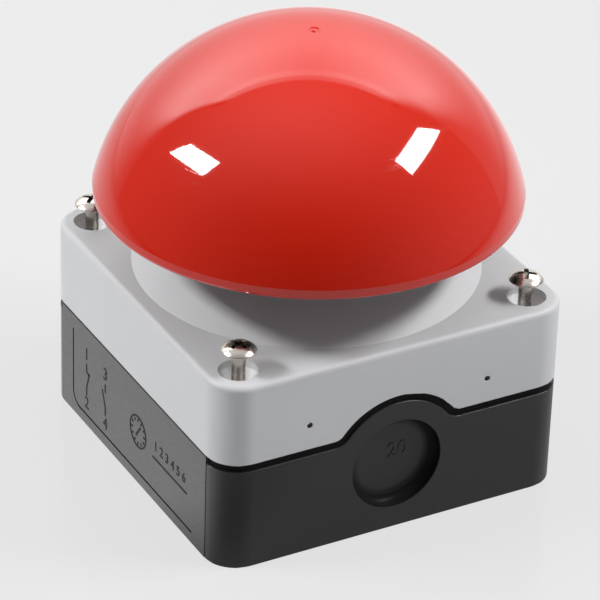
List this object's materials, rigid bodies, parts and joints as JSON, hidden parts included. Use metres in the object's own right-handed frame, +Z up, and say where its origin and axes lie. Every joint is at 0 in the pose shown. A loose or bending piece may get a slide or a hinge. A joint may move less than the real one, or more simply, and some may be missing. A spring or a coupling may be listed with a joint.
{
  "type": "pushbutton",
  "caption": "Palm- or foot-operated mushroom pushbutton: a large red dome on a sprung stem over a square grey and black housing with a closed cable entry and contact blocks inside.",
  "frame": {"origin": "middle of the housing's underside, on the surface that it stands on", "axes": "+Z up along the stem, -Y out of the face with the cable entry, -X out of the face with the engraved line"},
  "size_m": [0.0884, 0.0884, 0.0948],
  "materials": {
    "black_plastic": "satin moulded",
    "grey_plastic": "fine matte moulded",
    "red_plastic": "high gloss moulded",
    "seal_rubber": "matte",
    "natural_plastic": "satin",
    "block_plastic": "matte moulded",
    "lid_plastic": "satin",
    "nc_plunger_plastic": "satin",
    "no_plunger_plastic": "satin",
    "bright_steel": "bright nickel-plated",
    "spring_steel": "drawn wire",
    "brass": "turned",
    "contact_alloy": "stamped"
  },
  "bodies": {
    "housing": {"base_housing": "black_plastic", "cover_gasket": "seal_rubber", "cover": "grey_plastic", "cover_towers": "grey_plastic", "cover_screws": "bright_steel", "screw_retainers": "natural_plastic", "thread_inserts": "brass", "guide_bush": "natural_plastic", "bush_nut": "natural_plastic", "return_spring": "spring_steel", "sealing_boot": "seal_rubber", "contact_carrier": "block_plastic", "carrier_screws": "bright_steel", "nc_block": "block_plastic", "nc_block_lid": "lid_plastic", "nc_spring": "spring_steel", "nc_contacts": "contact_alloy", "no_block": "block_plastic", "no_block_lid": "lid_plastic", "no_spring": "spring_steel", "no_contacts": "contact_alloy", "terminal_clamps": "bright_steel", "terminal_screws": "bright_steel"},
    "palm": {"palm_dome": "red_plastic", "dome_hub": "black_plastic", "stem": "natural_plastic", "stem_screw": "bright_steel", "push_plate": "natural_plastic", "stem_circlip": "spring_steel"},
    "nc_slider": {"nc_plunger": "nc_plunger_plastic", "nc_bridge": "contact_alloy"},
    "no_slider": {"no_plunger": "no_plunger_plastic", "no_bridge": "contact_alloy"}
  },
  "joints": [
    {"name": "palm_press", "type": "slide", "parent": "housing", "child": "palm", "axis": [0, 0, -1], "range_m": [0, 0.006], "stiffness_N_per_m": 2000, "springref_m": -0.004, "deforming": ["return_spring", "sealing_boot"]},
    {"name": "nc_press", "type": "slide", "parent": "housing", "child": "nc_slider", "axis": [0, 0, -1], "range_m": [0, 0.006], "stiffness_N_per_m": 200, "springref_m": -0.004, "deforming": ["nc_spring"]},
    {"name": "no_press", "type": "slide", "parent": "housing", "child": "no_slider", "axis": [0, 0, -1], "range_m": [0, 0.006], "stiffness_N_per_m": 200, "springref_m": -0.004, "deforming": ["no_spring"]}
  ],
  "couplings": [
    {"joint": "nc_press", "follows": "palm_press", "ratio": 1},
    {"joint": "no_press", "follows": "palm_press", "ratio": 1}
  ]
}
